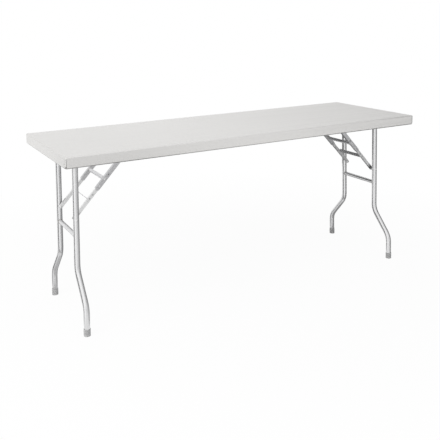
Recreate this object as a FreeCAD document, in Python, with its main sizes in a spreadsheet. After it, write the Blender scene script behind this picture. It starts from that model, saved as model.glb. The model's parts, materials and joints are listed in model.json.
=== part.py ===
import FreeCAD, Part
import math
import os
import re

import Sketcher

V = FreeCAD.Vector
Turn = FreeCAD.Rotation
Place = FreeCAD.Placement

# Places nearer than this are one place
SAME_PLACE = 0.01

# Driving dimensions, in millimetres and degrees
DRIVING = {
    # tabletop: one folded sheet tray
    "top_length": 1830.0,
    "top_depth": 610.0,
    "table_height": 780.0,
    "apron_height": 47.0,
    "tray_sheet": 1.2,
    "tray_edge_radius": 5.0,
    "tray_lower_radius": 5.0,
    "apron_corner_radius": 15.0,
    "hem_width": 14.0,
    "hem_corner_radius": 8.0,
    "seam_width": 1.8,
    "seam_reach": 3.0,
    # hat-section rails and stiffeners under the sheet
    "rail_depth": 12.0,
    "rail_sheet": 1.2,
    "rail_crown": 74.0,
    "rail_flange": 13.0,
    "rail_bend": 1.5,
    "pivot_rail_span": 500.0,
    "brace_rail_span": 310.0,
    "stiffener_crown": 28.0,
    "stiffener_row": 190.0,
    "rail_gap": 6.0,
    # leg frame: bent tubes under a pivot tube
    "tube_diameter": 25.4,
    "tube_wall": 1.5,
    "fold_gap": 1.3,
    "leg_inset": 94.3,
    "leg_row": 124.0,
    "foot_row": 238.0,
    "lean_angle": 1.5,
    "bend_radius": 82.0,
    "bend_angle": 42.0,
    "bend_height": 277.0,
    "pivot_tube_span": 340.0,
    "crossbar_diameter": 19.0,
    "crossbar_height": 396.0,
    # foot caps
    "cap_wall": 1.6,
    "cap_height": 31.0,
    "cap_floor": 5.0,
    "cap_round": 3.0,
    # saddle clips round the pivot tube
    "clip_sheet": 2.5,
    "clip_width": 24.0,
    "clip_foot": 18.0,
    "clip_row": 152.0,
    # folding braces
    "brace_reach": 256.0,
    "brace_drop": 284.0,
    "brace_row": 99.0,
    "link_sheet": 1.6,
    "upper_height": 19.0,
    "upper_width": 14.0,
    "upper_overlap": 60.0,
    "upper_hole": 8.0,
    "upper_hole_above_mid": 24.0,
    "upper_hole_below_mid": 38.0,
    "lower_height": 15.2,
    "side_gap": 0.3,
    "tie_bar_diameter": 16.0,
    "strip_width": 18.0,
    "strip_thickness": 3.0,
    "strip_from_leg": 97.0,
    "strip_shift": 4.0,
    "strip_slot": 14.0,
    "link_hole": 7.0,
    "link_hole_from_leg": 102.0,
    "link_hole_pitch": 21.0,
    # brace brackets
    "bracket_sheet": 2.5,
    "bracket_length": 64.0,
    "cheek_radius": 8.0,
    "bracket_rivet_pitch": 48.0,
    # rivets and bolts
    "pin_diameter": 6.0,
    "pin_head": 11.0,
    "pin_head_height": 2.0,
    "bolt_diameter": 8.0,
    "bolt_head": 12.0,
    "bolt_head_height": 2.5,
    "boss_diameter": 13.0,
    "fixing_diameter": 5.0,
    "fixing_head": 9.0,
    "fixing_head_height": 1.6,
    "fixing_tail": 3.0,
    "running_gap": 0.08,
    "weld_gap": 0.1,
}


def derived(d):
    """Sizes that follow from the driving ones."""
    lean = math.radians(d["lean_angle"])
    bend = math.radians(d["bend_angle"])
    reach = d["brace_reach"]
    drop = d["brace_drop"]
    out = {}
    out["rail_under"] = d["table_height"] - d["tray_sheet"] - d["rail_depth"]
    out["axis_height"] = out["rail_under"] - d["fold_gap"] - d["tube_diameter"] / 2
    out["axis_to_rail"] = d["fold_gap"] + d["tube_diameter"] / 2
    out["pivot_reach"] = d["top_length"] / 2 - d["leg_inset"]
    out["leg_length"] = out["axis_height"] / math.cos(lean)
    out["bend_start"] = (out["axis_height"] - d["bend_height"]) / math.cos(lean)
    out["bend_side"] = d["bend_radius"] * (1 - math.cos(bend))
    out["bend_drop"] = d["bend_radius"] * math.sin(bend)
    slant_side = d["foot_row"] - d["leg_row"] - 2 * out["bend_side"]
    out["slant_drop"] = slant_side / math.tan(bend)
    out["crossbar_drop"] = (out["axis_height"] - d["crossbar_height"]) / math.cos(lean)
    # straight brace from bracket to leg, with links that fold flat along the leg
    span = math.hypot(reach + drop * math.sin(lean), drop * math.cos(lean))
    out["lower_length"] = (span + drop - reach) / 2
    out["upper_length"] = span - out["lower_length"]
    out["brace_angle"] = math.degrees(math.atan2(drop * math.cos(lean), reach + drop * math.sin(lean)))
    out["lower_width"] = d["upper_width"] - 2 * d["link_sheet"] - 2 * d["side_gap"]
    out["slot_place"] = out["upper_length"] - (out["lower_length"] - d["strip_from_leg"])
    return out


SIZE = dict(DRIVING)
SIZE.update(derived(DRIVING))

doc = FreeCAD.newDocument("folding_table")
dims = doc.addObject("Spreadsheet::Sheet", "dims")
for line, (alias, size) in enumerate(SIZE.items(), start=1):
    dims.set("A%d" % line, alias)
    dims.set("B%d" % line, repr(size))
    dims.setAlias("B%d" % line, alias)
doc.recompute()

subparts = []


def cells(text):
    """An expression whose words point at the cells of the sheet."""
    def cell(found):
        word = found.group()
        return "dims." + word if word in SIZE else word

    return re.sub(r"[a-z_]+", cell, text)


def number(text):
    """The value of an expression."""
    return float(dims.evalExpression(cells(text)))


def keep(piece, label, placement):
    """Names a finished sub-part and puts it in its place."""
    piece.Label = label
    piece.Placement = placement
    subparts.append(piece)
    return piece


# Sketches

def new_sketch(body, name, role, lift=None):
    """A sketch on an origin plane of the body, moved along that plane's normal."""
    plane = next(item for item in body.Origin.OriginFeatures if item.Role == role)
    sketch = body.newObject("Sketcher::SketchObject", name)
    sketch.AttachmentSupport = [(plane, "")]
    sketch.MapMode = "FlatFace"
    if lift:
        sketch.setExpression("AttachmentOffset.Base.z", cells(lift))
    return sketch


def fix(sketch, part, end, x, y):
    """Ties a point of the sketch to its distances from the origin, or to one of them."""
    for kind, axis, text in (("DistanceX", -2, x), ("DistanceY", -1, y)):
        if text is None:
            continue
        size = number(text)
        if abs(size) < 1e-9:
            sketch.addConstraint(Sketcher.Constraint("PointOnObject", part, end, axis))
        else:
            index = sketch.addConstraint(Sketcher.Constraint(kind, -1, 1, part, end, size))
            sketch.setExpression("Constraints[%d]" % index, cells(text))


def set_radius(sketch, part, text):
    """Ties the radius of a circle or an arc to an expression."""
    index = sketch.addConstraint(Sketcher.Constraint("Radius", part, number(text)))
    sketch.setExpression("Constraints[%d]" % index, cells(text))


def add_circle(sketch, x, y, radius):
    """A circle given by its centre and radius."""
    curve = Part.Circle(V(number(x), number(y), 0), V(0, 0, 1), number(radius))
    part = sketch.addGeometry(curve, False)
    fix(sketch, part, 3, x, y)
    set_radius(sketch, part, radius)


def add_outline(sketch, corners, arcs=None, closed=True):
    """Lines through the corners; arcs[i] = (centre x, centre y, turn) bends the stretch after corner i."""
    arcs = arcs or {}
    points = [V(number(x), number(y), 0) for x, y in corners]
    count = len(points) if closed else len(points) - 1
    parts = []
    for i in range(count):
        start, stop = points[i], points[(i + 1) % len(points)]
        ends = (1, 2)
        if i in arcs:
            centre = V(number(arcs[i][0]), number(arcs[i][1]), 0)
            if arcs[i][2] < 0:
                start, stop = stop, start
                ends = (2, 1)
            first = math.atan2(start.y - centre.y, start.x - centre.x)
            last = math.atan2(stop.y - centre.y, stop.x - centre.x)
            if last <= first:
                last += 2 * math.pi
            ring = Part.Circle(centre, V(0, 0, 1), start.distanceToPoint(centre))
            curve = Part.ArcOfCircle(ring, first, last)
        else:
            curve = Part.LineSegment(start, stop)
        parts.append((sketch.addGeometry(curve, False), ends))
    for i in range(count if closed else count - 1):
        part, ends = parts[i]
        follower, follower_ends = parts[(i + 1) % count]
        sketch.addConstraint(Sketcher.Constraint("Coincident", part, ends[1], follower, follower_ends[0]))
    for i, (x, y) in enumerate(corners):
        part, end = (parts[i][0], parts[i][1][0]) if i < count else (parts[-1][0], parts[-1][1][1])
        fix(sketch, part, end, x, y)
    for i, (centre_x, centre_y, _) in arcs.items():
        chord = points[(i + 1) % len(points)] - points[i]
        lies_flat = abs(chord.x) > abs(chord.y)
        fix(sketch, parts[i][0], 3, None if lies_flat else centre_x, centre_y if lies_flat else None)


def add_rectangle(sketch, left, bottom, right, top):
    """A rectangle given by its four sides."""
    add_outline(sketch, [(left, bottom), (right, bottom), (right, top), (left, top)])


def add_slot(sketch, first, last, radius):
    """A bar with round ends along the first axis of the sketch."""
    low = "-(%s)" % radius
    corners = [(first, low), (last, low), (last, radius), (first, radius)]
    add_outline(sketch, corners, {1: (last, "0", 1), 3: (first, "0", 1)})


# Features

def new_body(name):
    return doc.addObject("PartDesign::Body", name)


def add_pad(body, sketch, length, middle=False):
    """Raises a sketch to a solid, to both sides alike where middle is set."""
    pad = body.newObject("PartDesign::Pad", sketch.Name + "_pad")
    pad.Profile = sketch
    pad.setExpression("Length", cells(length))
    pad.SideType = "Symmetric" if middle else "One side"
    sketch.Visibility = False
    return pad


def add_pocket(body, sketch, length=None, turned=False):
    """Cuts a sketch into the body: to a depth, or right through to both sides where no depth is given."""
    pocket = body.newObject("PartDesign::Pocket", sketch.Name + "_pocket")
    pocket.Profile = sketch
    if length:
        pocket.setExpression("Length", cells(length))
        pocket.Reversed = turned
    else:
        pocket.Type = "ThroughAll"
        pocket.SideType = "Symmetric"
    return pocket


def add_fillet(body, feature, chosen, radius):
    """Rounds the edges of a feature for which chosen(edge) is true."""
    doc.recompute()
    names = ["Edge%d" % n for n, edge in enumerate(feature.Shape.Edges, start=1) if chosen(edge)]
    fillet = body.newObject("PartDesign::Fillet", feature.Name + "_round")
    fillet.Base = (feature, names)
    fillet.setExpression("Radius", cells(radius))
    return fillet


def add_group(label, shapes, placement):
    """Several equal fasteners as one sub-part of separate solids."""
    piece = doc.addObject("Part::Feature", label)
    piece.Shape = Part.makeCompound(shapes)
    return keep(piece, label, placement)


# Fasteners, turned about the Y axis

def turned_profile(points, arcs):
    """A closed profile of (radius, y) points swung about the Y axis; arcs[i] = point on the arc after i."""
    edges = []
    for i, (radius, along) in enumerate(points):
        start = V(radius, along, 0)
        stop = V(*points[(i + 1) % len(points)], 0)
        if i in arcs:
            edges.append(Part.Arc(start, V(*arcs[i], 0), stop).toShape())
        else:
            edges.append(Part.LineSegment(start, stop).toShape())
    face = Part.Face(Part.Wire(edges))
    return face.revolve(V(0, 0, 0), V(0, 1, 0), 360)


def dome_point(radius, height, foot, side):
    """A point on a domed head between its rim and its crown."""
    bulge = (radius * radius + height * height) / (2 * height)
    middle = radius / 2
    return middle, foot + side * (math.sqrt(bulge * bulge - middle * middle) - bulge + height)


def headed_pin(diameter, head, head_height, foot, tip):
    """A pin along Y from a domed head, whose flat side is at foot, to its plain tip."""
    side = 1 if foot > tip else -1
    crown = foot + side * head_height
    points = [(0, tip), (diameter / 2, tip), (diameter / 2, foot), (head / 2, foot), (0, crown)]
    return turned_profile(points, {3: dome_point(head / 2, head_height, foot, side)})


def double_headed_pin(diameter, head, head_height, foot, other_foot):
    """A rivet along Y with a domed head at each end."""
    points = [(0, other_foot - head_height), (head / 2, other_foot), (diameter / 2, other_foot)]
    points += [(diameter / 2, foot), (head / 2, foot), (0, foot + head_height)]
    arcs = {
        0: dome_point(head / 2, head_height, other_foot, -1),
        4: dome_point(head / 2, head_height, foot, 1),
    }
    return turned_profile(points, arcs)


def moved(shape, x=0, y=0, z=0, quarter_turns_about_x=0):
    """A copy of a shape, turned about X and moved."""
    copy = shape.copy()
    copy.Placement = Place(V(x, y, z), Turn(V(1, 0, 0), 90 * quarter_turns_about_x))
    return copy


# Tabletop and its rails

def make_top_tray():
    """A folded sheet pan: rounded box, hollow, open below inside a returned hem. The end aprons wrap round
    the corners to a seam in the front and rear, and their lower corners are rounded off."""
    body = new_body("top_tray")
    half_length, half_depth = "top_length / 2", "top_depth / 2"
    plan = new_sketch(body, "tray_plan", "XY_Plane")
    add_rectangle(plan, "-(%s)" % half_length, "-(%s)" % half_depth, half_length, half_depth)
    add_pad(body, plan, "apron_height")
    inner_length, inner_depth = half_length + " - tray_sheet", half_depth + " - tray_sheet"
    inside = new_sketch(body, "tray_inside", "XY_Plane", "apron_height - tray_sheet")
    add_rectangle(inside, "-(%s)" % inner_length, "-(%s)" % inner_depth, inner_length, inner_depth)
    hollow = add_pocket(body, inside, "apron_height - 2 * tray_sheet")
    limit_x = (SIZE["top_length"] - SIZE["tray_sheet"]) / 2
    limit_y = (SIZE["top_depth"] - SIZE["tray_sheet"]) / 2

    def kind(edge):
        box = edge.BoundBox
        reach_x = max(abs(box.XMin), abs(box.XMax))
        reach_y = max(abs(box.YMin), abs(box.YMax))
        wall = "outer" if reach_x > limit_x or reach_y > limit_y else "inner"
        return wall, "low" if box.ZMax < SIZE["apron_height"] / 2 else "high"

    shell = hollow
    for wall, loss in (("inner", " - tray_sheet"), ("outer", "")):
        for level, radius in (("high", "tray_edge_radius"), ("low", "tray_lower_radius")):
            shell = add_fillet(body, shell, lambda edge: kind(edge) == (wall, level), radius + loss)
    mouth_length, mouth_depth = half_length + " - hem_width", half_depth + " - hem_width"
    mouth = new_sketch(body, "tray_mouth", "XY_Plane")
    corner = "hem_corner_radius"
    corners = []
    arcs = {}
    for n, (sx, sy) in enumerate((("-", "-"), ("", "-"), ("", ""), ("-", ""))):
        x_out, y_out = "%s(%s)" % (sx, mouth_length), "%s(%s)" % (sy, mouth_depth)
        x_in, y_in = "%s(%s - %s)" % (sx, mouth_length, corner), "%s(%s - %s)" % (sy, mouth_depth, corner)
        pair = [(x_out, y_in), (x_in, y_out)]
        corners += pair if n % 2 == 0 else pair[::-1]
        arcs[2 * n] = (x_in, y_in, 1)
    add_outline(mouth, corners, arcs)
    add_pocket(body, mouth, "2 * tray_sheet", turned=True)
    for name, lift, turned in (("front", "top_depth / 2", False), ("rear", "-top_depth / 2", True)):
        seam = new_sketch(body, "seam_" + name, "XZ_Plane", lift)
        inner_side = half_length + " - tray_edge_radius - seam_width"
        outer_side = half_length + " - tray_edge_radius"
        top = "apron_height - tray_edge_radius"
        add_rectangle(seam, inner_side, "-tray_sheet", outer_side, top)
        add_rectangle(seam, "-(%s)" % outer_side, "-tray_sheet", "-(%s)" % inner_side, top)
        add_pocket(body, seam, "seam_reach", turned=turned)
    radius = "apron_corner_radius"
    inset = "%s - %s" % (half_depth, radius)
    beyond = half_depth + " + tray_sheet"
    for name, lift, turned in (("left", "-top_length / 2", True), ("right", "top_length / 2", False)):
        corner = new_sketch(body, "corners_" + name, "YZ_Plane", lift)
        for sign in (-1, 1):
            points = [(inset, "-tray_sheet"), (beyond, "-tray_sheet"), (beyond, radius)]
            points += [(half_depth, radius), (inset, "0")]
            placed = [(signed(sign, y), z) for y, z in points]
            add_outline(corner, placed, {3: (signed(sign, inset), radius, -sign)})
        add_pocket(body, corner, "tray_edge_radius", turned=turned)
    keep(body, "top_tray", Place(V(0, 0, SIZE["table_height"] - SIZE["apron_height"]), Turn()))


def runs_at(edge, places):
    """Whether an edge runs along Y at one of the (x, z) places, on either side."""
    middle = edge.BoundBox.Center
    along = edge.BoundBox.YLength > 2 * edge.BoundBox.XLength
    return along and any(math.hypot(abs(middle.x) - x, middle.z - z) < SAME_PLACE for x, z in places)


def make_hat_rail(label, crown, span, placement, holes=()):
    """A folded hat-section rail along Y, its flanges up against the sheet and rivet holes in its crown."""
    body = new_body(label)
    section = new_sketch(body, label + "_section", "XZ_Plane")
    edge = "%s / 2 + rail_flange" % crown
    side = "%s / 2" % crown
    inner = side + " - rail_sheet"
    half = [("-(%s)" % edge, "0"), ("-(%s)" % inner, "0"), ("-(%s)" % inner, "rail_sheet - rail_depth")]
    other = [(inner, "rail_sheet - rail_depth"), (inner, "0"), (edge, "0")]
    under = [(edge, "-rail_sheet"), (side, "-rail_sheet"), (side, "-rail_depth")]
    last = [("-(%s)" % x, y) for x, y in reversed(under)]
    add_outline(section, half + other + under + last)
    rail = add_pad(body, section, span, middle=True)
    wide, narrow = number(side), number(inner)
    depth, sheet = SIZE["rail_depth"], SIZE["rail_sheet"]
    convex = [(narrow, 0), (wide, -depth)]
    hollow = [(wide, -sheet), (narrow, sheet - depth)]
    for places, radius in ((convex, "rail_bend + rail_sheet"), (hollow, "rail_bend")):
        rail = add_fillet(body, rail, lambda edge: runs_at(edge, places), radius)
    if holes:
        drill = new_sketch(body, label + "_holes", "XY_Plane")
        for x, y in holes:
            add_circle(drill, x, y, "fixing_diameter / 2 + weld_gap")
        add_pocket(body, drill)
    keep(body, label, placement)


def make_rails():
    """Cross rails over the leg pivots and the brace brackets, and two long stiffeners between them."""
    level = SIZE["table_height"] - SIZE["tray_sheet"]
    foot = "(tube_diameter / 2 + running_gap + clip_sheet + clip_foot / 2)"
    for end, side in (("left", -1), ("right", 1)):
        holes = [(sx + foot, sy + "clip_row") for sx in ("-", "") for sy in ("-", "")]
        place = Place(V(side * SIZE["pivot_reach"], 0, level), Turn())
        make_hat_rail("pivot_rail_" + end, "rail_crown", "pivot_rail_span", place, holes)
        holes = [(sx + "bracket_rivet_pitch / 2", sy + "brace_row") for sx in ("-", "") for sy in ("-", "")]
        place = Place(V(side * (SIZE["pivot_reach"] - SIZE["brace_reach"]), 0, level), Turn())
        make_hat_rail("brace_rail_" + end, "rail_crown", "brace_rail_span", place, holes)
    span = "2 * (pivot_reach - rail_crown / 2 - rail_flange - rail_gap)"
    for name, side in (("front", -1), ("rear", 1)):
        place = Place(V(0, side * SIZE["stiffener_row"], level), Turn(V(0, 0, 1), 90))
        make_hat_rail("stiffener_" + name, "stiffener_crown", span, place)


# Frames of the moving bodies: the left end, and the same turned half round for the right end

ENDS = (("left", 0), ("right", 180))


def end_place(turn, x, y, z, pitch):
    """A place at the left end, given from the middle of the table, and turned with the end."""
    return Place(V(0, 0, 0), Turn(V(0, 0, 1), turn)) * Place(V(x, y, z), Turn(V(0, 1, 0), pitch))


def rows(turn):
    """Front and rear, with the sign of Y that they have in the frame of an end."""
    sign = -1 if turn == 0 else 1
    return (("front", sign), ("rear", -sign))


def signed(sign, text):
    return text if sign > 0 else "-(%s)" % text


def leg_place(turn):
    """On the pivot axis, with Z up along the leaning legs."""
    return end_place(turn, -SIZE["pivot_reach"], 0, SIZE["axis_height"], SIZE["lean_angle"])


def bracket_place(turn, y):
    """On the pivot axis of the upper link, level with the table."""
    return end_place(turn, SIZE["brace_reach"] - SIZE["pivot_reach"], y, SIZE["axis_height"], 0)


def link_place(turn, y, along):
    """On the line of the straight brace, X from the bracket towards the leg, Z to the open side."""
    pitch = 180 - SIZE["brace_angle"]
    slope = math.radians(SIZE["brace_angle"])
    x = SIZE["brace_reach"] - SIZE["pivot_reach"] - along * math.cos(slope)
    z = SIZE["axis_height"] - along * math.sin(slope)
    return end_place(turn, x, y, z, pitch)


# Leg frame

def make_tube(label, outer, span, placement, cope_row=None):
    """A straight tube along Y, its ends coped to fit round legs that stand at +-cope_row."""
    body = new_body(label)
    ring = new_sketch(body, label + "_ring", "XZ_Plane")
    add_circle(ring, "0", "0", "%s / 2" % outer)
    add_circle(ring, "0", "0", "%s / 2 - tube_wall" % outer)
    add_pad(body, ring, span, middle=True)
    if cope_row:
        cope = new_sketch(body, label + "_cope", "XY_Plane")
        for sign in ("-", ""):
            add_circle(cope, "0", sign + cope_row, "tube_diameter / 2 + weld_gap")
        add_pocket(body, cope)
    keep(body, label, placement)


def make_leg(label, sign, placement):
    """A leg tube bent outwards and straight again, coped to the pivot tube and drilled for the brace bolt."""
    body = new_body(label)
    low = "-(bend_start + 2 * bend_drop + slant_drop)"
    corners = [
        (signed(sign, "leg_row"), "0"),
        (signed(sign, "leg_row"), "-bend_start"),
        (signed(sign, "leg_row + bend_side"), "-(bend_start + bend_drop)"),
        (signed(sign, "foot_row - bend_side"), "-(bend_start + bend_drop + slant_drop)"),
        (signed(sign, "foot_row"), low),
        (signed(sign, "foot_row"), "-(leg_length - cap_floor)"),
    ]
    arcs = {
        1: (signed(sign, "leg_row + bend_radius"), "-bend_start", sign),
        3: (signed(sign, "foot_row - bend_radius"), low, -sign),
    }
    path = new_sketch(body, label + "_path", "YZ_Plane")
    add_outline(path, corners, arcs, closed=False)
    ring = new_sketch(body, label + "_ring", "XY_Plane")
    for radius in ("tube_diameter / 2", "tube_diameter / 2 - tube_wall"):
        add_circle(ring, "0", signed(sign, "leg_row"), radius)
    doc.recompute()
    pipe = body.newObject("PartDesign::AdditivePipe", label + "_pipe")
    pipe.Profile = ring
    pipe.Spine = path
    cuts = new_sketch(body, label + "_cuts", "XZ_Plane")
    add_circle(cuts, "0", "0", "tube_diameter / 2 + weld_gap")
    add_circle(cuts, "0", "-brace_drop", "bolt_diameter / 2 + weld_gap")
    add_pocket(body, cuts)
    keep(body, label, placement)


def make_foot_cap(label, sign, placement):
    """A moulded cup over the end of a leg, its sole cut level with the floor."""
    body = new_body(label + "_cup")
    wall = "tube_diameter / 2 + weld_gap + cap_wall"
    bore = "tube_diameter / 2 + weld_gap"
    section = new_sketch(body, label + "_section", "XZ_Plane")
    sole = "-cap_round"
    corners = [
        ("0", sole),
        (wall, sole),
        (wall, "cap_height - cap_round / 2"),
        (wall + " - cap_round / 2", "cap_height"),
        (bore, "cap_height"),
        (bore, "cap_floor"),
        ("0", "cap_floor"),
    ]
    arcs = {2: (wall + " - cap_round / 2", "cap_height - cap_round / 2", 1)}
    add_outline(section, corners, arcs)
    spin = body.newObject("PartDesign::Revolution", label + "_spin")
    spin.Profile = section
    spin.ReferenceAxis = (section, ["V_Axis"])
    spin.Angle = 360
    body.Placement = placement * Place(V(0, sign * SIZE["foot_row"], -SIZE["leg_length"]), Turn())
    ground = doc.addObject("Part::Box", label + "_ground")
    for edge in ("Length", "Width", "Height"):
        ground.setExpression(edge, cells("4 * cap_height"))
    middle = body.Placement.Base
    reach = 2 * SIZE["cap_height"]
    ground.Placement = Place(V(middle.x - reach, middle.y - reach, -2 * reach), Turn())
    cut = doc.addObject("Part::Cut", label)
    cut.Base = body
    cut.Tool = ground
    keep(cut, label, Place())


def make_brace_bolts(end, placement):
    """Bolts through the legs, and the spacer bosses that hold the lower links off the tubes."""
    outside = SIZE["leg_row"] + SIZE["tube_diameter"] / 2
    face = SIZE["brace_row"] + SIZE["lower_width"] / 2 + SIZE["side_gap"]
    bolts = []
    bosses = []
    for sign in (-1, 1):
        bolt = headed_pin(SIZE["bolt_diameter"], SIZE["bolt_head"], SIZE["bolt_head_height"],
                          sign * outside, sign * face)
        bolts.append(moved(bolt, z=-SIZE["brace_drop"]))
        length = SIZE["leg_row"] - face
        boss = Part.makeCylinder(SIZE["boss_diameter"] / 2, length, V(0, sign * face, 0), V(0, sign, 0))
        bore = SIZE["bolt_diameter"] / 2 + SIZE["weld_gap"]
        boss = boss.cut(Part.makeCylinder(bore, length, V(0, sign * face, 0), V(0, sign, 0)))
        tube = SIZE["tube_diameter"] / 2 + SIZE["weld_gap"]
        drop = SIZE["boss_diameter"]
        post = Part.makeCylinder(tube, 2 * drop, V(0, sign * SIZE["leg_row"], -drop), V(0, 0, 1))
        bosses.append(moved(boss.cut(post), z=-SIZE["brace_drop"]))
    add_group("brace_bolts_" + end, bolts, placement)
    add_group("brace_bosses_" + end, bosses, placement)


def make_leg_frame(end, turn):
    """Pivot tube, two legs, cross bar, foot caps and the brace bolts of one end."""
    place = leg_place(turn)
    make_tube("pivot_tube_" + end, "tube_diameter", "pivot_tube_span", place)
    lower = place * Place(V(0, 0, -SIZE["crossbar_drop"]), Turn())
    make_tube("leg_crossbar_" + end, "crossbar_diameter", "2 * leg_row", lower, "leg_row")
    for row, sign in rows(turn):
        make_leg("leg_%s_%s" % (row, end), sign, place)
        make_foot_cap("foot_cap_%s_%s" % (row, end), sign, place)
    make_brace_bolts(end, place)


# Seats of the leg frame and the braces under the top

def make_pivot_clip(label, placement):
    """A saddle strap under the pivot tube with a foot each side."""
    body = new_body(label)
    inner = "tube_diameter / 2 + running_gap"
    outer = inner + " + clip_sheet"
    toe = outer + " + clip_foot"
    level, under = "axis_to_rail", "axis_to_rail - clip_sheet"
    corners = [
        ("-(%s)" % toe, under),
        ("-(%s)" % outer, under),
        ("-(%s)" % outer, "0"),
        (outer, "0"),
        (outer, under),
        (toe, under),
        (toe, level),
        (inner, level),
        (inner, "0"),
        ("-(%s)" % inner, "0"),
        ("-(%s)" % inner, level),
        ("-(%s)" % toe, level),
    ]
    strap = new_sketch(body, label + "_strap", "XZ_Plane")
    add_outline(strap, corners, {2: ("0", "0", 1), 8: ("0", "0", -1)})
    add_pad(body, strap, "clip_width", middle=True)
    drill = new_sketch(body, label + "_holes", "XY_Plane")
    for sign in ("-", ""):
        add_circle(drill, "%s(%s + clip_foot / 2)" % (sign, outer), "0", "fixing_diameter / 2 + weld_gap")
    add_pocket(body, drill)
    keep(body, label, placement)


def make_brace_bracket(label, placement):
    """A clevis: a plate under the rail with two cheeks that hold the end of an upper link."""
    body = new_body(label)
    inner = "upper_width / 2 + side_gap"
    outer = inner + " + bracket_sheet"
    cheek = new_sketch(body, label + "_cheek", "XZ_Plane")
    corners = [("-cheek_radius", "0"), ("cheek_radius", "0"), ("cheek_radius", "axis_to_rail"),
               ("-cheek_radius", "axis_to_rail")]
    add_outline(cheek, corners, {0: ("0", "0", 1)})
    add_pad(body, cheek, "2 * (%s)" % outer, middle=True)
    plate = new_sketch(body, label + "_plate", "XY_Plane", "axis_to_rail - bracket_sheet")
    add_rectangle(plate, "-bracket_length / 2", "-(%s)" % outer, "bracket_length / 2", outer)
    add_pad(body, plate, "bracket_sheet")
    gap = new_sketch(body, label + "_gap", "XY_Plane", "axis_to_rail - bracket_sheet")
    add_rectangle(gap, "-2 * cheek_radius", "-(%s)" % inner, "2 * cheek_radius", inner)
    add_pocket(body, gap, "axis_to_rail + cheek_radius")
    bore = new_sketch(body, label + "_bore", "XZ_Plane")
    add_circle(bore, "0", "0", "pin_diameter / 2 + running_gap")
    add_pocket(body, bore)
    drill = new_sketch(body, label + "_holes", "XY_Plane")
    for sign in ("-", ""):
        add_circle(drill, sign + "bracket_rivet_pitch / 2", "0", "fixing_diameter / 2 + weld_gap")
    add_pocket(body, drill)
    keep(body, label, placement)


def fixing_rivet(grip):
    """A rivet that stands up from its head, below, through the sheets that it grips."""
    tip = grip + SIZE["fixing_tail"]
    return headed_pin(SIZE["fixing_diameter"], SIZE["fixing_head"], SIZE["fixing_head_height"], 0, tip)


def make_seats(end, turn):
    """Clips, brackets and their rivets at one end."""
    pivot = end_place(turn, -SIZE["pivot_reach"], 0, SIZE["axis_height"], 0)
    bracket = bracket_place(turn, 0)
    foot = SIZE["tube_diameter"] / 2 + SIZE["running_gap"] + SIZE["clip_sheet"] + SIZE["clip_foot"] / 2
    clip_rivet = fixing_rivet(SIZE["clip_sheet"] + SIZE["rail_sheet"])
    plate_rivet = fixing_rivet(SIZE["bracket_sheet"] + SIZE["rail_sheet"])
    clip_level = SIZE["axis_to_rail"] - SIZE["clip_sheet"]
    plate_level = SIZE["axis_to_rail"] - SIZE["bracket_sheet"]
    flange = SIZE["upper_width"] / 2 - SIZE["link_sheet"]
    cheek = SIZE["upper_width"] / 2 + SIZE["side_gap"] + SIZE["bracket_sheet"]
    clip_rivets = []
    plate_rivets = []
    pivots = []
    for row, sign in rows(turn):
        clip_place = pivot * Place(V(0, sign * SIZE["clip_row"], 0), Turn())
        make_pivot_clip("pivot_clip_%s_%s" % (row, end), clip_place)
        make_brace_bracket("brace_bracket_%s_%s" % (row, end), bracket_place(turn, sign * SIZE["brace_row"]))
        for side in (-1, 1):
            clip_rivets.append(moved(clip_rivet, side * foot, sign * SIZE["clip_row"], clip_level, 1))
            place = side * SIZE["bracket_rivet_pitch"] / 2
            plate_rivets.append(moved(plate_rivet, place, sign * SIZE["brace_row"], plate_level, 1))
            pin = headed_pin(SIZE["pin_diameter"], SIZE["pin_head"], SIZE["pin_head_height"],
                             side * cheek, side * flange)
            pivots.append(moved(pin, y=sign * SIZE["brace_row"]))
    add_group("clip_rivets_" + end, clip_rivets, pivot)
    add_group("bracket_rivets_" + end, plate_rivets, bracket)
    add_group("bracket_pivots_" + end, pivots, bracket)


# Folding brace

def make_channel(body, name, length, tail, height, width):
    """A pressed channel with round ends along X, its web on the closed side (-Z)."""
    side = new_sketch(body, name + "_side", "XZ_Plane")
    radius = "%s / 2" % height
    last = "%s + %s" % (length, tail) if tail else length
    add_slot(side, "0", last, radius)
    add_pad(body, side, width, middle=True)
    inside = new_sketch(body, name + "_inside", "XY_Plane", radius)
    wall = "%s / 2 - link_sheet" % width
    add_rectangle(inside, "-%s" % height, "-(%s)" % wall, "%s + %s" % (last, height), wall)
    add_pocket(body, inside, "%s - link_sheet" % height)


def make_upper_link(label, sign, placement):
    """The channel from the bracket that laps over the lower link, with two holes in its outer side."""
    body = new_body(label)
    tail = "upper_overlap - upper_height / 2"
    make_channel(body, label, "upper_length", tail, "upper_height", "upper_width")
    bores = new_sketch(body, label + "_bores", "XZ_Plane")
    add_circle(bores, "0", "0", "pin_diameter / 2 + running_gap")
    add_circle(bores, "upper_length", "0", "pin_diameter / 2 + running_gap")
    add_pocket(body, bores)
    slot = new_sketch(body, label + "_slot", "XZ_Plane")
    add_rectangle(slot, "slot_place - strip_slot / 2", "link_sheet - upper_height / 2",
                  "slot_place + strip_slot / 2", "upper_height")
    add_pocket(body, slot, "upper_width", turned=sign > 0)
    holes = new_sketch(body, label + "_holes", "XZ_Plane")
    for place in ("upper_length - upper_hole_above_mid", "upper_length + upper_hole_below_mid"):
        add_circle(holes, place, "0", "upper_hole / 2")
    add_pocket(body, holes, "upper_width", turned=sign < 0)
    keep(body, label, placement)


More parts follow.
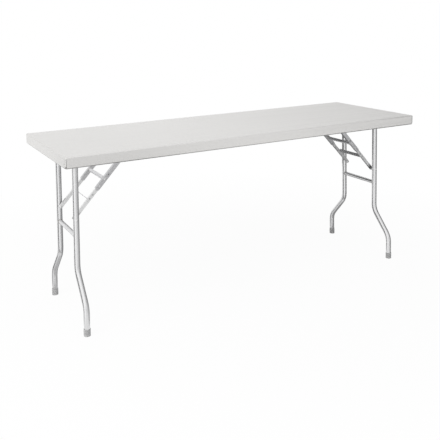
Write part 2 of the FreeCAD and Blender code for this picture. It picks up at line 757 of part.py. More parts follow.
def make_lower_link(label, sign, placement):
    """The narrower channel from the mid joint to the leg, with two holes in its outer side."""
    body = new_body(label)
    make_channel(body, label, "lower_length", "", "lower_height", "lower_width")
    bores = new_sketch(body, label + "_bores", "XZ_Plane")
    add_circle(bores, "0", "0", "pin_diameter / 2 + running_gap")
    add_circle(bores, "lower_length", "0", "bolt_diameter / 2 + running_gap")
    add_pocket(body, bores)
    holes = new_sketch(body, label + "_holes", "XZ_Plane")
    for place in ("link_hole_from_leg", "(link_hole_from_leg + link_hole_pitch)"):
        add_circle(holes, "lower_length - " + place, "0", "link_hole / 2")
    add_pocket(body, holes, "lower_width", turned=sign < 0)
    keep(body, label, placement)


def make_tie_strip(label, placement):
    """A flat bar on edge between the lower links."""
    body = new_body(label)
    section = new_sketch(body, label + "_section", "XZ_Plane")
    add_rectangle(section, "-strip_thickness / 2", "-strip_shift - strip_width / 2",
                  "strip_thickness / 2", "strip_width / 2 - strip_shift")
    bar = add_pad(body, section, "2 * (brace_row - lower_width / 2 - weld_gap)", middle=True)
    add_fillet(body, bar, lambda edge: edge.BoundBox.YLength > SIZE["strip_width"] * 2, "strip_thickness / 3")
    keep(body, label, placement)


def make_braces(end, turn):
    """Upper links with a tie bar over their mid rivets, lower links with their strip, and the rivets."""
    mid = SIZE["upper_length"]
    half_upper = SIZE["upper_width"] / 2
    half_lower = SIZE["lower_width"] / 2
    mid_rivets = []
    leg_rivets = []
    for row, sign in rows(turn):
        y = sign * SIZE["brace_row"]
        make_upper_link("upper_link_%s_%s" % (row, end), sign, link_place(turn, y, 0))
        make_lower_link("lower_link_%s_%s" % (row, end), sign, link_place(turn, y, mid))
        rivet = double_headed_pin(SIZE["pin_diameter"], SIZE["pin_head"], SIZE["pin_head_height"],
                                  half_upper, -half_upper)
        mid_rivets.append(moved(rivet, y=y))
        leg_rivet = headed_pin(SIZE["bolt_diameter"], SIZE["pin_head"], SIZE["pin_head_height"],
                               -sign * half_lower, sign * half_lower)
        leg_rivets.append(moved(leg_rivet, SIZE["lower_length"], y))
    knee = link_place(turn, 0, mid)
    tie_span = "2 * (brace_row - upper_width / 2 - weld_gap)"
    make_tube("upper_tie_bar_" + end, "tie_bar_diameter", tie_span, knee)
    strip = link_place(turn, 0, mid + SIZE["lower_length"] - SIZE["strip_from_leg"])
    make_tie_strip("lower_tie_strip_" + end, strip)
    add_group("mid_rivets_" + end, mid_rivets, knee)
    add_group("leg_end_rivets_" + end, leg_rivets, knee)


make_top_tray()
make_rails()
for end, turn in ENDS:
    make_leg_frame(end, turn)
    make_seats(end, turn)
    make_braces(end, turn)
doc.recompute()

# Every object is sound before anything is written
for item in doc.Objects:
    if "Invalid" in item.State or "Error" in item.State:
        raise RuntimeError("%s did not build: %s" % (item.Label, item.State))
for piece in subparts:
    if piece.Shape.isNull() or not piece.Shape.isValid():
        raise RuntimeError("%s has no valid shape" % piece.Label)

os.makedirs("parts", exist_ok=True)
for piece in subparts:
    piece.Shape.exportStep("parts/%s.step" % piece.Label)
print("%d sub-parts" % len(subparts))
for name in ("axis_height", "pivot_reach", "upper_length", "lower_length", "brace_angle"):
    print("%s %.3f" % (name, SIZE[name]))
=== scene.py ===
import json
import math

import bpy
import numpy as np
from mathutils import Matrix, Vector


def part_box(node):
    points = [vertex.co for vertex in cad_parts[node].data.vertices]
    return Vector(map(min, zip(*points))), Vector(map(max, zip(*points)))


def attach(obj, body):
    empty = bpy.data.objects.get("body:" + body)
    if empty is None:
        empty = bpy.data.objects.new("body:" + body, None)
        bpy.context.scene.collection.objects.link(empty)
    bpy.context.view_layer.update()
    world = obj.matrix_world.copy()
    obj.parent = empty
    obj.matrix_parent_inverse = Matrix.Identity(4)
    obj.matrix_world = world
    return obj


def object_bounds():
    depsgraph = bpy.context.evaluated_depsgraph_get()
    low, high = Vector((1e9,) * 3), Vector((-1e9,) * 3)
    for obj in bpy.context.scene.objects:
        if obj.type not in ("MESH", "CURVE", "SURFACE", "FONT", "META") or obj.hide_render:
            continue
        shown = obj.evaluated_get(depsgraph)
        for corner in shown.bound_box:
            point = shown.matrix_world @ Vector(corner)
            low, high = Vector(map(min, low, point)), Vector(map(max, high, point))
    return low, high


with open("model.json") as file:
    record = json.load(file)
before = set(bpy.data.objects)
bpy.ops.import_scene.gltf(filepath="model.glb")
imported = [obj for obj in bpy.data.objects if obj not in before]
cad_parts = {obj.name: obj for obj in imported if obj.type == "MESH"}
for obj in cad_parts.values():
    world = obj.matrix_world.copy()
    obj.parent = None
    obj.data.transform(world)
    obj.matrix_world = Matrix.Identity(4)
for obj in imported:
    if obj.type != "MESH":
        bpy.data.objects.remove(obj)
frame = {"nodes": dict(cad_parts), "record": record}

CAD_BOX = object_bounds()
ENDS = ("left", "right")
SIDES = (-1, 1)
TOP = CAD_BOX[1].z
MM = 0.001
WHITE = (1.0, 1.0, 1.0, 1.0)
METAL, PLASTIC = 1.0, 0.0

# Camera at the photograph's viewpoint, in metres, degrees, pixels and, for the sensor, millimetres
PICTURE_SIDE = 440
EYE = Vector((-1.6131, -2.7572, 1.3321))
YAW, PITCH, ROLL = 29.4331, 9.8107, 0.7649
FOCAL_PIXELS = 662.8
AXIS_ROW = 124.0
SENSOR_WIDTH = 36.0

# Floor, sky and lamp, in metres and watts
FLOOR_LEVEL = -0.0002
FLOOR_REACH, FLOOR_RINGS, FLOOR_SPOKES = 9.0, 24, 96
FLOOR_GREY = 0.84
FLOOR_WHITENING = (0.9, 2.2), (0.95, 1.0)
SKY_GREY, SKY_STRENGTH = 0.9, 0.6
LAMP_PLACE, LAMP_TARGET = Vector((-2.6, -1.4, 2.6)), Vector((0.0, 0.0, 0.6))
LAMP_SIDE, LAMP_POWER = 3.0, 90.0

# Bent studio cards, in metres and degrees, in the order of round_card's arguments
CARD_STEPS = 25
LEG_PROFILE = ((0.3, 0.002), (0.55, 0.002), (0.55, 0.62))
LEG_CARDS = ((-0.83, (0.2, 0.7), 12.0), (0.83, (0.08, 0.45), 22.0))
ROUND_CARDS = (
    ("front_card", 0.0, (160.0, 205.0), ((1.1, 0.002), (3.6, 0.002), (3.6, 1.0)), (0.9, 0.75)),
    ("front_right_flag", 0.0, (122.0, 137.0), ((1.6, 0.003), (3.0, 0.003)), (0.3, 0.3)),
    ("right_flag", 0.0, (90.0, 120.0), ((3.6, 0.002), (3.6, 1.2)), (0.15, 0.15)),
    ("far_right_card", 0.0, (20.0, 84.0), ((3.6, 0.002), (3.6, 2.4)), (1.0, 0.45)),
    ("high_left_card", 0.0, (-155.0, -95.0), ((3.2, 1.5), (1.8, 3.2)), (1.3, 1.3)),
    ("high_right_flag", 0.0, (75.0, 140.0), ((3.4, 1.3), (2.2, 3.2)), (0.7, 0.7)),
    ("right_low_flag", 0.0, (50.0, 110.0), ((2.0, 0.25), (2.0, 0.62)), (0.1, 0.1)),
    ("rear_left_card", 0.0, (-60.0, 5.0), ((2.2, 0.002), (5.5, 0.002), (5.5, 1.0)), (1.07, 1.07)),
)
for middle, right_levels, back_start in LEG_CARDS:
    ROUND_CARDS += (
        ("leg_left_flag", middle, (-100.0, -62.0), LEG_PROFILE, (0.2, 0.2)),
        ("leg_left_card", middle, (-150.0, -112.0), LEG_PROFILE, (1.25, 1.25)),
        ("leg_right_flag", middle, (80.0, 165.0), LEG_PROFILE, right_levels),
        ("leg_back_flag", middle, (back_start, 75.0), LEG_PROFILE, (0.3, 0.2)),
    )

# Flat studio cards, in metres, in the order of flat_card's arguments
ON_FLOOR = (0.0015, 0.0015)
FLAT_CARDS = (
    ("under_shade", (-0.62, 0.62), (-0.14, 0.5), (0.001, 0.001), 0.5),
    ("left_tie_card", (-0.95, -0.4), (0.2, 0.2), (0.63, 0.735), 1.0),
    ("left_lid_card", (-0.95, -0.4), (-0.25, 0.2), (0.728, 0.728), 1.0),
    ("under_flag", (-0.2, 0.62), (0.29, 0.29), (0.38, 0.73), 0.06),
    ("under_right_flag", (0.62, 0.9), (0.29, 0.29), (0.40, 0.73), 0.3),
    ("left_foot_flag", (-0.74, -0.35), (-0.5, 0.3), ON_FLOOR, 0.5),
    ("left_front_foot_flag", (-1.15, -0.8), (-0.13, -0.02), ON_FLOOR, 0.3),
    ("left_rear_foot_flag", (-1.15, -0.78), (0.33, 0.75), ON_FLOOR, 0.3),
    ("right_foot_flag", (0.87, 1.35), (-0.75, 0.3), ON_FLOOR, 0.3),
    ("left_slant_flag", (-0.95, -0.74), (0.08, 0.3), ON_FLOOR, 0.6),
    ("right_slant_flag", (0.74, 0.87), (0.08, 0.3), ON_FLOOR, 0.35),
    ("right_bar_flag", (0.87, 1.6), (0.35, 1.1), ON_FLOOR, 0.45),
    ("front_foot_flag", (0.55, 0.86), (-0.13, 0.0), ON_FLOOR, 0.3),
    ("rear_foot_flag", (0.5, 0.86), (0.33, 0.75), ON_FLOOR, 0.3),
)

# Patterns of the finishes: repeats per metre, all round or by axis, then noise detail and roughness
FINE_GRAIN = (9.0, 900.0, 1.0), 4.0, 0.6
COARSE_GRAIN = (2.5, 130.0, 1.0), 3.0, 0.55
STREAKS = (0.9, 55.0, 1.0), 2.0, 0.5
SHEET_CLOUDS = 2.2, 2.0, 0.5
SCRATCHES = (700.0, 700.0, 14.0), 3.0, 0.5
TUBE_CLOUDS = 18.0, 2.0, 0.5
PLATE_SPECKS = 900.0, 2.0, 0.5
CAP_SKIN = 1400.0, 3.0, 0.5
CAP_CLOUDS = 60.0, 3.0, 0.5
WELD_SPECKS = 500.0, 4.0, 0.5
CRYSTALS = 260.0

# Shares of the patterns in a finish, and the streak value that changes nothing
FINE_SHARE, COARSE_SHARE, SHEET_CLOUD_SHARE = 0.55, 0.45, 0.35
STREAK_MIDDLE = 0.5
TUBE_CLOUD_SHARE, SCRATCH_SHARE = 0.5, 0.5
SPECK_SHARE, CRYSTAL_SHARE = 0.4, 0.6
SCUFF_SHARE, CAP_CLOUD_SHARE = 0.8, 0.6

# Dark and light tones of the finishes
SHEET_TONES = (0.68, 0.672, 0.66), (0.78, 0.772, 0.76)
TUBE_TONES = (0.67, 0.67, 0.68), (0.75, 0.75, 0.75)
CAP_TONES = (0.37, 0.37, 0.37), (0.46, 0.46, 0.46)
WELD_TONES = (0.42, 0.41, 0.40), (0.68, 0.67, 0.65)
PALE_TONES = (0.82, 0.82, 0.82), (0.92, 0.92, 0.92)

# Spans of a place, a normal or a pattern, and the levels or roughnesses at their ends
# Streaks: real grain, grown towards the right end as a painted reflection
STREAK_AND_PAINTED_REFLECTION_GROWTH = (-0.3, 0.8), (0.3, 1.3)
# Painted shade: the sheet's tone falls where it faces down
UNDERSIDE_PAINTED_SHADE = (-0.45, 0.0), (0.45, 1.0)
# Painted shade along the sheet's bends, growing towards the right end
BEND_PAINTED_SHADE = (0.5, 0.92), (0.0, 0.6)
# Painted shade: the front lower links darken towards their lower ends, at the leg bolts
LINK_PAINTED_SHADE = (0.478, 0.495), (0.35, 1.0)
CAP_SCUFF = (0.0, 0.012), (1.0, 0.0)
SHEET_GLOSS = (0.3, 0.7), (0.36, 0.48)
TUBE_GLOSS = (0.3, 0.7), (0.24, 0.32)
CAP_GLOSS = (0.2, 0.8), (0.42, 0.6)
WELD_GLOSS = (0.2, 0.8), (0.3, 0.5)
PLATE_SPAN, PLATE_SMOOTHER, PLATE_ROUGHER = (0.2, 0.8), 0.06, 0.08

# Strength of the bumps, and their depth in metres
SHEET_BUMP = 0.12, 0.0004
TUBE_BUMP = 0.03, 0.0002
PLATE_BUMP = CAP_BUMP = 0.08, 0.0003

# Weld beads and corner straps, in metres
BEAD_RADIUS, BEAD_SINK = 1.9 * MM, 0.3
BEAD_RIPPLES, RIPPLE_DEPTH = 20, 0.1
RIPPLE_STEPS, BEAD_SIDES = 8, 10
STRAP_HALF = (6.4 * MM, 0.6 * MM, 17.0 * MM)
STRAP_FROM_END, STRAP_BEHIND, STRAP_BELOW = 10.6 * MM, 2.1 * MM, 25.0 * MM
STRAP_POWER, STRAP_STEPS = 8, 48
STRAP_RINGS = ((-1.0, 0.95), (-0.5, 1.0), (0.5, 1.0), (1.0, 0.95))

# Sockets of the mix node when it mixes colours
MIX_DARK, MIX_LIGHT, MIX_RESULT = 6, 7, 2


# Node trees

def put(tree, kind, inputs=None, **settings):
    """A shader node with its settings, and its inputs set to values or linked to sockets."""
    node = tree.nodes.new("ShaderNode" + kind)
    for key, value in settings.items():
        setattr(node, key, value)
    for key, value in (inputs or {}).items():
        if isinstance(value, bpy.types.NodeSocket):
            tree.links.new(value, node.inputs[key])
        else:
            node.inputs[key].default_value = value
    return node


def calc(tree, operation, first, second=0.0, third=0.0):
    """The result of a math node."""
    return put(tree, "Math", {0: first, 1: second, 2: third}, operation=operation).outputs[0]


def weighed(tree, first, first_share, second, second_share):
    """The sum of two values, each by its share."""
    return calc(tree, "MULTIPLY_ADD", first, first_share, calc(tree, "MULTIPLY", second, second_share))


def spread(tree, value, span, levels):
    """A value carried from a span of its own to the levels at that span's ends, and held beyond them."""
    inputs = {0: value, 1: span[0], 2: span[1], 3: levels[0], 4: levels[1]}
    return put(tree, "MapRange", inputs, clamp=True).outputs[0]


def shade(tree, factor, dark, light):
    """A colour between two others."""
    inputs = {0: factor, MIX_DARK: (*dark, 1.0), MIX_LIGHT: (*light, 1.0)}
    return put(tree, "Mix", inputs, data_type="RGBA").outputs[MIX_RESULT]


def dimmed(tree, tone, level):
    """A colour times a level."""
    return put(tree, "VectorMath", {0: tone, "Scale": level}, operation="SCALE").outputs[0]


def noise(tree, vector, scale, detail, rough):
    """The value of a noise pattern, which runs long and thin where its scale is given by axis."""
    if isinstance(scale, tuple):
        vector, scale = put(tree, "Mapping", {"Vector": vector, "Scale": scale}).outputs[0], 1.0
    inputs = {"Vector": vector, "Scale": scale, "Detail": detail, "Roughness": rough}
    return put(tree, "TexNoise", inputs).outputs[0]


def object_place(tree):
    """The place of a point in its object's own axes."""
    return put(tree, "TexCoord").outputs["Object"]


def along_axes(tree, vector):
    """The X, Y and Z parts of a vector."""
    return put(tree, "SeparateXYZ", {0: vector}).outputs


def new_material(name):
    """A material and its node tree."""
    material = bpy.data.materials.new(name)
    material.use_nodes = True
    return material, material.node_tree


def dress(tree, metallic, tone, rough, height=None, bump=None):
    """Gives the surface shader a tone, a roughness and the bumps of a height pattern."""
    surface = tree.nodes["Principled BSDF"]
    surface.inputs["Metallic"].default_value = metallic
    tree.links.new(tone, surface.inputs["Base Color"])
    tree.links.new(rough, surface.inputs["Roughness"])
    if bump:
        strength, depth = bump
        bumps = put(tree, "Bump", {"Height": height, "Strength": strength, "Distance": depth})
        tree.links.new(bumps.outputs[0], surface.inputs["Normal"])


# Finishes

def brushed_sheet():
    """Ground stainless sheet. The grain runs along the length and goes over the bends with the sheet:
    along = x + (top - z) nx, across = y + (top - z) ny, with n the surface normal. Painted shade makes it
    darker where it faces down and, near the right end, along the bends, by the larger of nx (1 - nx) and
    nz (1 - nz). Its streaks grow towards the right end, real grain with a painted reflection."""
    material, tree = new_material("brushed_sheet")
    coordinates = put(tree, "TexCoord").outputs
    place = along_axes(tree, coordinates["Object"])
    normal = along_axes(tree, coordinates["Normal"])
    drop = calc(tree, "SUBTRACT", TOP, place[2])
    along = calc(tree, "MULTIPLY_ADD", drop, normal[0], place[0])
    across = calc(tree, "MULTIPLY_ADD", drop, normal[1], place[1])
    flat = put(tree, "CombineXYZ", {0: along, 1: across}).outputs[0]
    fine, coarse = noise(tree, flat, *FINE_GRAIN), noise(tree, flat, *COARSE_GRAIN)
    grain = weighed(tree, fine, FINE_SHARE, coarse, COARSE_SHARE)
    toned = calc(tree, "MULTIPLY_ADD", noise(tree, flat, *SHEET_CLOUDS), SHEET_CLOUD_SHARE, grain)
    streak = calc(tree, "SUBTRACT", noise(tree, flat, *STREAKS), STREAK_MIDDLE)
    # The streaks' growth towards the right end is a painted reflection on the real grain
    toned = calc(tree, "MULTIPLY_ADD", streak, spread(tree, place[0], *STREAK_AND_PAINTED_REFLECTION_GROWTH), toned)
    # Painted shade along the bends near the right end, and where the sheet faces down
    bends = [calc(tree, "MULTIPLY", part, calc(tree, "SUBTRACT", 1.0, part))
             for part in (normal[0], normal[2])]
    painted_bend_shade = calc(tree, "MAXIMUM", calc(tree, "MAXIMUM", *bends), 0.0)
    painted_bend_shade = calc(tree, "MULTIPLY", painted_bend_shade, spread(tree, place[0], *BEND_PAINTED_SHADE))
    level = calc(tree, "SUBTRACT", spread(tree, normal[2], *UNDERSIDE_PAINTED_SHADE), painted_bend_shade)
    tone = dimmed(tree, shade(tree, toned, *SHEET_TONES), level)
    dress(tree, METAL, tone, spread(tree, grain, *SHEET_GLOSS), grain, SHEET_BUMP)
    return material


def ground_tube():
    """Satin tube: fine scratches along it, and soft cloudy polish."""
    material, tree = new_material("ground_tube")
    place = object_place(tree)
    lines, cloud = noise(tree, place, *SCRATCHES), noise(tree, place, *TUBE_CLOUDS)
    toned = weighed(tree, cloud, TUBE_CLOUD_SHARE, lines, SCRATCH_SHARE)
    tone = shade(tree, toned, *TUBE_TONES)
    dress(tree, METAL, tone, spread(tree, toned, *TUBE_GLOSS), lines, TUBE_BUMP)
    return material


def plated_steel(name, dark, light, rough, painted_shade_span=None):
    """Zinc plate: pale crystal patches with a faint grain. A painted shade dims it over a span of heights,
    by the levels at that span's ends."""
    material, tree = new_material(name)
    place = object_place(tree)
    crystals = put(tree, "TexVoronoi", {"Vector": place, "Scale": CRYSTALS}, feature="F1").outputs["Color"]
    patch = put(tree, "SeparateColor", {0: crystals}).outputs[0]
    speck = noise(tree, place, *PLATE_SPECKS)
    toned = weighed(tree, speck, SPECK_SHARE, patch, CRYSTAL_SHARE)
    tone = shade(tree, toned, dark, light)
    # Painted shade over a span of heights
    if painted_shade_span:
        tone = dimmed(tree, tone, spread(tree, along_axes(tree, place)[2], *painted_shade_span))
    gloss = spread(tree, toned, PLATE_SPAN, (rough - PLATE_SMOOTHER, rough + PLATE_ROUGHER))
    dress(tree, METAL, tone, gloss, speck, PLATE_BUMP)
    return material


def moulded_cap():
    """Grey moulded plastic with a fine skin, scuffed towards the floor."""
    material, tree = new_material("moulded_cap")
    place = object_place(tree)
    skin, cloud = noise(tree, place, *CAP_SKIN), noise(tree, place, *CAP_CLOUDS)
    scuff = calc(tree, "MULTIPLY", spread(tree, along_axes(tree, place)[2], *CAP_SCUFF), cloud)
    tone = shade(tree, weighed(tree, scuff, SCUFF_SHARE, cloud, CAP_CLOUD_SHARE), *CAP_TONES)
    dress(tree, PLASTIC, tone, spread(tree, skin, *CAP_GLOSS), skin, CAP_BUMP)
    return material


def weld_metal():
    """Welded metal: duller than the tubes, with specks."""
    material, tree = new_material("weld_metal")
    speck = noise(tree, object_place(tree), *WELD_SPECKS)
    dress(tree, METAL, shade(tree, speck, *WELD_TONES), spread(tree, speck, *WELD_GLOSS))
    return material


# Finishes of the record's slots, and of the brace's pieces by the start of their names
SLOT_FINISHES = {
    "tray_sheet": brushed_sheet(),
    "rail_sheet": plated_steel("mill_sheet", (0.52, 0.53, 0.54), (0.66, 0.66, 0.67), 0.42),
    "leg_tube": ground_tube(),
    "plated_steel": plated_steel("plated_bracket", (0.56, 0.57, 0.58), (0.72, 0.73, 0.74), 0.34),
    "fastener_steel": plated_steel("bright_rivet", (0.62, 0.62, 0.62), (0.80, 0.80, 0.80), 0.22),
    "foot_plastic": moulded_cap(),
}
DULL_BAR = plated_steel("dull_bar", (0.66, 0.66, 0.67), (0.77, 0.77, 0.78), 0.5)
BRACE_FINISHES = {
    "upper_link": plated_steel("dark_channel", (0.55, 0.55, 0.56), (0.68, 0.68, 0.69), 0.42),
    # The front lower links carry painted shade at their lower ends, by the leg bolts
    "lower_link_front": plated_steel("channel_with_painted_shade", *PALE_TONES, 0.36, LINK_PAINTED_SHADE),
    "lower_link_rear": plated_steel("pale_channel", *PALE_TONES, 0.36),
    "upper_tie_bar": DULL_BAR,
    "lower_tie_strip": DULL_BAR,
}
WELD = weld_metal()
# A lap strap behind the corner seams, made dark as painted shade of the seams' gap
SEAM_SHADE_LAP = plated_steel("seam_lap_painted_shade", (0.30, 0.30, 0.30), (0.42, 0.42, 0.42), 0.55)


def finish_of(row):
    """The finish of a sub-part: its own where the brace gives one, else its slot's."""
    own = [finish for start, finish in BRACE_FINISHES.items() if row["node"].startswith(start)]
    return own[0] if own else SLOT_FINISHES[row["material_slot"]]


for row in frame["record"]["subparts"]:
    for holder in frame["nodes"][row["node"]].material_slots:
        holder.material = finish_of(row)


# Surfaces

def grid_faces(rows, columns, round_rows=False, round_columns=False):
    """Corner numbers of the faces between the points of a grid, joined round where asked."""
    i, j = np.meshgrid(np.arange(rows if round_rows else rows - 1),
                       np.arange(columns if round_columns else columns - 1), indexing="ij")
    h, k = (i + 1) % rows, (j + 1) % columns
    corners = np.stack([i * columns + j, h * columns + j, h * columns + k, i * columns + k], axis=-1)
    return corners.reshape(-1, 4)


def add_mesh(name, points, faces, material):
    """An object at the origin with one mesh and one material."""
    mesh = bpy.data.meshes.new(name)
    mesh.from_pydata(points.reshape(-1, 3).tolist(), [], faces)
    mesh.materials.append(material)
    piece = bpy.data.objects.new(name, mesh)
    bpy.context.scene.collection.objects.link(piece)
    return piece


def add_piece(name, grids, body, finish, round_rows):
    """One mesh of several grids that moves with a body. A grid is closed round its columns, and its first
    and last rows are joined, or else each is filled with one flat face."""
    faces, count = [], 0
    for grid in grids:
        rows, columns = grid.shape[:2]
        faces += (grid_faces(rows, columns, round_rows, round_columns=True) + count).tolist()
        if not round_rows:
            first = count + np.arange(columns)
            faces += [first.tolist(), (first + (rows - 1) * columns)[::-1].tolist()]
        count += rows * columns
    piece = add_mesh(name, np.concatenate([grid.reshape(-1, 3) for grid in grids]), faces, finish)
    piece.data.polygons.foreach_set("use_smooth", np.ones(len(faces), bool))
    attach(piece, body)


def weld_bead(bar, side, tube_row=None, tube_radius=None):
    """A rippled bead round one end of a bar that lies along Y, on a flat wall or on an upright tube.
    At angle t round the bar the joint is at the bar's radius R from its axis, and along Y at the bar's end,
    or at row - sqrt(tube radius^2 - (R cos t)^2) on a tube whose axis is in that row. The bead is that line
    plus r (s + cos f) outwards and r (s + sin f) away from the wall, at angle f round the bead, with sink s
    and r = bead radius (1 + depth cos(ripples t))."""
    low, high = bar
    middle, radius = (low + high) / 2, (high.z - low.z) / 2
    t = side * np.linspace(0.0, 2 * np.pi, RIPPLE_STEPS * BEAD_RIPPLES, endpoint=False)[:, None]
    f = np.linspace(0.0, 2 * np.pi, BEAD_SIDES, endpoint=False)[None, :]
    r = BEAD_RADIUS * (1 + RIPPLE_DEPTH * np.cos(BEAD_RIPPLES * t))
    joint = high.y if tube_row is None else tube_row - np.sqrt(tube_radius ** 2 - (radius * np.cos(t)) ** 2)
    out = radius + r * (BEAD_SINK + np.cos(f))
    y = side * (joint - r * (BEAD_SINK + np.sin(f)))
    return np.stack([middle.x + out * np.cos(t), y, middle.z + out * np.sin(t)], axis=-1)


def corner_strap(x, y):
    """A flat strap behind a corner seam, with round corners. Its rings are curves of power n about its
    middle, x = a |cos t|^(2/n) and z = c |sin t|^(2/n) with the signs of cos t and sin t. They stand at
    levels through its thickness, and are drawn in a little at each face."""
    t = np.linspace(0.0, 2 * np.pi, STRAP_STEPS, endpoint=False)
    turn = np.stack([np.cos(t), np.sin(t)])
    curve = np.sign(turn) * abs(turn) ** (2 / STRAP_POWER)
    level, share = np.array(STRAP_RINGS).T[:, :, None]
    a, b, c = STRAP_HALF
    across, upright = x + a * share * curve[0], TOP - STRAP_BELOW + c * share * curve[1]
    return np.stack(np.broadcast_arrays(across, y + b * level, upright), axis=-1)


def welds_and_straps():
    """Beads where the cross bars meet the legs and the tie bars meet the links, and corner straps."""
    for end in ENDS:
        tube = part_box("pivot_tube_" + end)
        tube_radius = (tube[1].z - tube[0].z) / 2
        leg_row = tube_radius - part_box("leg_front_" + end)[1].y
        crossbar, tie_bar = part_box("leg_crossbar_" + end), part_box("upper_tie_bar_" + end)
        add_piece("leg_welds_" + end, [weld_bead(crossbar, side, leg_row, tube_radius) for side in SIDES],
                  "leg_frame_" + end, WELD, round_rows=True)
        add_piece("brace_welds_" + end, [weld_bead(tie_bar, side) for side in SIDES],
                  "upper_brace_" + end, WELD, round_rows=True)
    low, high = CAD_BOX
    straps = [corner_strap(x, y) for x in (low.x + STRAP_FROM_END, high.x - STRAP_FROM_END)
              for y in (low.y + STRAP_BEHIND, high.y - STRAP_BEHIND)]
    # The straps' dark tone is painted shade in the corner seams
    add_piece("corner_straps", straps, "tabletop", SEAM_SHADE_LAP, round_rows=False)


# Floor, surround, light and camera

def stage_grid(name, points, faces, shader, material):
    """A part of the studio, which isn't part of the table, with a shader of its own."""
    tree = material.node_tree
    tree.nodes.remove(tree.nodes["Principled BSDF"])
    tree.links.new(shader, tree.nodes["Material Output"].inputs["Surface"])
    piece = add_mesh(name, points, faces.tolist(), material)
    return piece


def shown(tree):
    """One for rays that come from the camera, from a reflection or through glass, else nought."""
    path = put(tree, "LightPath").outputs
    seen = calc(tree, "MAXIMUM", path["Is Camera Ray"], path["Is Transmission Ray"])
    return calc(tree, "MAXIMUM", seen, path["Is Glossy Ray"])


def floor():
    """A pale disc just under the feet, white towards its rim: x = r cos a, y = r sin a, with
    r = reach u^2 + 1 mm for even steps of u from 0 to 1."""
    radius = np.linspace(0.0, 1.0, FLOOR_RINGS) ** 2 * FLOOR_REACH + MM
    angle = np.linspace(0.0, 2 * np.pi, FLOOR_SPOKES, endpoint=False)
    r, a = np.meshgrid(radius, angle, indexing="ij")
    points = np.stack([r * np.cos(a), r * np.sin(a), np.full_like(r, FLOOR_LEVEL)], axis=-1)
    material, tree = new_material("pale_floor")
    distance = put(tree, "VectorMath", {0: object_place(tree)}, operation="LENGTH").outputs["Value"]
    white = calc(tree, "MULTIPLY", spread(tree, distance, *FLOOR_WHITENING), shown(tree))
    matt = put(tree, "BsdfDiffuse", {"Color": (FLOOR_GREY, FLOOR_GREY, FLOOR_GREY, 1.0)}).outputs[0]
    glow = put(tree, "Emission", {"Color": WHITE, "Strength": 1.0}).outputs[0]
    mixed = put(tree, "MixShader", {0: white, 1: matt, 2: glow}).outputs[0]
    faces = grid_faces(FLOOR_RINGS, FLOOR_SPOKES, round_columns=True)
    stage_grid("floor", points, faces, mixed, material)


def reflected(name, points, levels):
    """A studio card that only reflections see, from a grid of points and their grey levels."""
    rows, columns = points.shape[:2]
    material, tree = new_material(name)
    level = put(tree, "Attribute", attribute_name="level").outputs["Fac"]
    glow = put(tree, "Emission", {"Color": WHITE, "Strength": level}).outputs[0]
    piece = stage_grid(name, points, grid_faces(rows, columns), glow, material)
    grey = piece.data.attributes.new("level", "FLOAT", "POINT")
    grey.data.foreach_set("value", np.broadcast_to(levels, (rows, columns)).astype(np.float32).ravel())
    piece.visible_camera = False
    piece.visible_diffuse = False
    piece.visible_shadow = False


def round_card(name, middle, bearings, profile, levels):
    """A card bent round a point of the table's long axis: x = middle + r sin b, y = r cos b, for bearings b
    from +Y towards +X. The profile gives radius r and height z, and the levels are the greys at its two
    ends."""
    bearing = np.radians(np.linspace(*bearings, CARD_STEPS))
    radius, height = np.array(profile).T
    x = np.outer(np.sin(bearing), radius) + middle
    y = np.outer(np.cos(bearing), radius)
    points = np.stack([x, y, np.broadcast_to(height, x.shape)], axis=-1)
    reflected(name, points, np.linspace(*levels, CARD_STEPS)[:, None])


def flat_card(name, x, y, z, level):
    """A flat card of one grey level. It runs along X between two places, and across from the first y and z
    to the second."""
    points = np.stack(np.broadcast_arrays(np.array(x)[:, None], y, z), axis=-1)
    reflected(name, points, level)


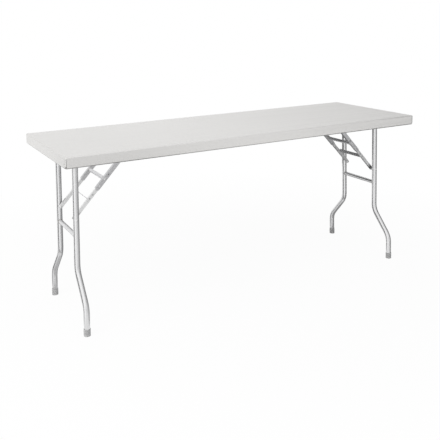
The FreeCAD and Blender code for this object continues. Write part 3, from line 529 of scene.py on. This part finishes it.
def sky():
    """White background for the picture and for reflections, and a softer level for the light that falls
    on things."""
    world = bpy.data.worlds.new("studio")
    bpy.context.scene.world = world
    world.use_nodes = True
    tree = world.node_tree
    soft = tree.nodes["Background"]
    soft.inputs["Color"].default_value = (SKY_GREY, SKY_GREY, SKY_GREY, 1.0)
    soft.inputs["Strength"].default_value = SKY_STRENGTH
    white = put(tree, "Background", {"Color": WHITE, "Strength": 1.0})
    mixed = put(tree, "MixShader", {0: shown(tree), 1: soft.outputs[0], 2: white.outputs[0]}).outputs[0]
    tree.links.new(mixed, tree.nodes["World Output"].inputs["Surface"])


def camera():
    """A camera at the photograph's eye, turned by yaw, pitch and roll."""
    yaw, pitch, roll = (math.radians(angle) for angle in (YAW, PITCH, ROLL))
    ahead = Vector((math.sin(yaw) * math.cos(pitch), math.cos(yaw) * math.cos(pitch), -math.sin(pitch)))
    level = Vector((math.cos(yaw), -math.sin(yaw), 0.0))
    down = ahead.cross(level)
    right = level * math.cos(roll) + down * math.sin(roll)
    up = -(down * math.cos(roll) - level * math.sin(roll))
    data = bpy.data.cameras.new("photo_camera")
    data.sensor_width = SENSOR_WIDTH
    data.lens = SENSOR_WIDTH * FOCAL_PIXELS / PICTURE_SIDE
    data.shift_y = AXIS_ROW / PICTURE_SIDE - 0.5
    obj = bpy.data.objects.new("photo_camera", data)
    turn = Matrix((right, up, -ahead)).transposed().to_4x4()
    obj.matrix_world = Matrix.Translation(EYE) @ turn
    bpy.context.scene.collection.objects.link(obj)
    bpy.context.scene.camera = obj


def key_lamp():
    """A soft square lamp aimed at the table. Reflections show the cards in its place."""
    data = bpy.data.lights.new("key_lamp", "AREA")
    data.shape = "RECTANGLE"
    data.size = data.size_y = LAMP_SIDE
    data.energy = LAMP_POWER
    obj = bpy.data.objects.new("key_lamp", data)
    obj.location = LAMP_PLACE
    obj.visible_glossy = False
    obj.rotation_euler = (LAMP_TARGET - LAMP_PLACE).to_track_quat("-Z", "Y").to_euler()
    bpy.context.scene.collection.objects.link(obj)


# The table's added pieces, then the studio
welds_and_straps()
floor()
sky()
camera()
for card in ROUND_CARDS:
    round_card(*card)
for card in FLAT_CARDS:
    flat_card(*card)
key_lamp()
bpy.context.scene.view_settings.view_transform = "Standard"
